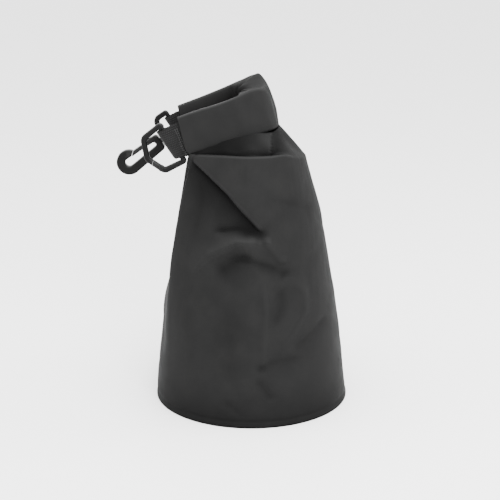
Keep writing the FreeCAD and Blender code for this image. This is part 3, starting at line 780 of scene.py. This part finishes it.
def stitch_rows(name, mouth, out, side, distances, reach, material):
    """Rows of short, slightly uneven stitches across both faces of a strap."""
    rng = np.random.default_rng(9)
    verts, faces = [], []
    step, length, r = 1.9, 1.45, 0.34
    sides = 8
    profile = [(-length / 2, 0.12), (-length * 0.36, 0.8), (0, 1.0), (length * 0.36, 0.8), (length / 2, 0.12)]
    for distance in distances:
        f = min(distance / reach, 1.0)
        direction = UP * (1 - f) + side * f
        direction = direction / np.linalg.norm(direction)
        for face in (-1, 1):
            for k in range(int((WEB_W - 4) / step)):
                centre = mouth + out * (distance + rng.uniform(-0.08, 0.08)) \
                    + direction * (-WEB_W / 2 + 2.4 + step * k) \
                    + np.array([0.0, face * (WEB_T + 0.12), 0.0])
                lean = direction + out * rng.uniform(-0.1, 0.1)
                lean = lean / np.linalg.norm(lean)
                third = np.cross(lean, out)
                base = len(verts)
                for along, fat in profile:
                    for a in np.linspace(0, 2 * math.pi, sides, endpoint=False):
                        verts.append(centre + lean * along + out * (r * fat * math.cos(a))
                                     + third * (r * 0.75 * fat * math.sin(a)))
                faces += grid_faces(len(profile), sides, base)
                faces.append([base + i for i in range(sides - 1, -1, -1)])
                last = base + (len(profile) - 1) * sides
                faces.append([last + i for i in range(sides)])
    obj = make_mesh(name, verts, faces)
    obj.data.materials.append(material)
    return obj


# ---- back weld ----------------------------------------------------------------------------------------
SEAM_HALF = 5                   # half the weld's width, in columns of the body's mesh
SEAM_LIFT, SEAM_EDGE, SEAM_SINK = 0.7, 0.25, 0.2


def seam_piece(material):
    """The lapped weld up the back: a strip that follows the body's folds and stands a little proud."""
    points, _ = folded_body()
    rows = slice(0, BODY_ROWS - 2)
    middle = int(np.argmin(np.abs(points[0, :, 0]) + (points[0, :, 1] < 0) * 999))
    strip = points[rows, middle - SEAM_HALF:middle + SEAM_HALF + 1]
    normal = np.cross(np.gradient(strip, axis=0), np.gradient(strip, axis=1))
    normal /= np.linalg.norm(normal, axis=-1, keepdims=True)
    normal *= np.sign(np.sum(normal * Y_AXIS, axis=-1, keepdims=True))
    lift = np.full(strip.shape[1], SEAM_LIFT)
    lift[0] = lift[-1] = SEAM_EDGE
    outer = strip + normal * lift[None, :, None]
    inner = strip - normal * SEAM_SINK
    ring = np.concatenate([outer, inner[:, ::-1]], axis=1)
    count = ring.shape[1]
    faces = grid_faces(ring.shape[0], count)
    faces.append(list(range(count - 1, -1, -1)))
    faces.append([(ring.shape[0] - 1) * count + i for i in range(count)])
    obj = make_mesh("back_seam", ring.reshape(-1, 3), faces)
    obj.data.materials.append(material)
    return obj


# ---- studio -------------------------------------------------------------------------------------------
FLOOR_HALF = 3.0
FLOOR_DROP = 0.0003             # keeps the floor just clear of the base
SKY = 3.1
LENS = 108.0
SENSOR = 36.0
CAMERA = (-0.0014, -1.272, 0.529)
AIM = (-0.0014, 0, 0.134)


def studio():
    floor_mesh = bpy.data.meshes.new("floor")
    size = FLOOR_HALF
    floor_mesh.from_pydata([(-size, -size, 0), (size, -size, 0), (size, size, 0), (-size, size, 0)], [],
                           [(0, 1, 2, 3)])
    floor = bpy.data.objects.new("floor", floor_mesh)
    bpy.context.collection.objects.link(floor)
    floor.location.z = -FLOOR_DROP
    floor_mesh.materials.append(floor_material())

    def area(name, place, aim, width, height, power):
        light = bpy.data.lights.new(name, "AREA")
        light.shape = "RECTANGLE"
        light.size, light.size_y, light.energy = width, height, power
        lamp = bpy.data.objects.new(name, light)
        lamp.location = place
        lamp.rotation_euler = (Vector(aim) - Vector(place)).to_track_quat("-Z", "Y").to_euler()
        bpy.context.collection.objects.link(lamp)

    area("top", (0.1, -0.2, 1.3), (0, 0, 0.1), 0.9, 0.9, 24.0)
    area("left", (-0.9, -0.1, 0.5), (0, 0, 0.15), 0.4, 0.9, 3.0)
    area("right", (0.9, 0.1, 0.5), (0, 0, 0.15), 0.4, 0.9, 5.0)
    area("front", (0.35, -1.3, 0.75), (0, 0, 0.12), 0.6, 0.6, 33.0)
    world = bpy.data.worlds.new("studio")
    world.use_nodes = True
    world.node_tree.nodes["Background"].inputs["Color"].default_value = (1, 1, 1, 1)
    world.node_tree.nodes["Background"].inputs["Strength"].default_value = SKY
    bpy.context.scene.world = world

    camera = bpy.data.cameras.new("camera")
    camera.lens = LENS
    camera.sensor_width = SENSOR
    eye = bpy.data.objects.new("camera", camera)
    eye.location = CAMERA
    eye.rotation_euler = (Vector(AIM) - eye.location).to_track_quat("-Z", "Y").to_euler()
    bpy.context.collection.objects.link(eye)
    bpy.context.scene.camera = eye


# ---- assembly -----------------------------------------------------------------------------------------
def main():
    studio()
    fabric = fabric_material()
    webbing = webbing_material()
    thread = thread_material()
    plastic = plastic_material()
    steel = steel_material()
    strip = strip_material()

    def stand_in(obj, slot, *nodes):
        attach(obj, "bag")
        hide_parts(*nodes)

    stand_in(body_piece(fabric), "coated_fabric", "body_shell")
    stand_in(roll_piece(fabric), "coated_fabric", "rolled_mouth")
    stand_in(seam_piece(fabric), "coated_fabric", "back_seam_lap")
    for end, y, bar, angle, slack, rows, seed in (
            ("front", -BEND_R, RING_BAR, RING_ANGLE, 2.6, (1.5, 2.9, 4.3), 2),
            ("rear", BEND_R, HOOK_BAR, HOOK_ANGLE, 0.6, (0.9, 1.95), 7)):
        strap, mouth, out, reach = webbing_piece(f"{end}_webbing", y, bar, angle, slack, webbing, seed)
        stand_in(strap, "webbing", f"{end}_webbing_loop")
        stitches = stitch_rows(f"{end}_stitches", mouth, out, unit(angle - 90), rows, reach, thread)
        stand_in(stitches, "thread", f"{end}_bar_tacks")

    kept = {"base_panel": fabric, "mouth_hem_tape_outer": fabric, "mouth_hem_tape_inner": fabric,
            "mouth_stiffener_outer": strip, "mouth_stiffener_inner": strip,
            "ring_frame": plastic, "ring_gate": plastic, "hook_body": plastic, "hook_gate": plastic,
            "hook_eye": plastic, "ring_gate_pin": steel, "hook_gate_pin": steel}
    for node, material in kept.items():
        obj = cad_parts[node]
        obj.data.materials.clear()
        obj.data.materials.append(material)


main()
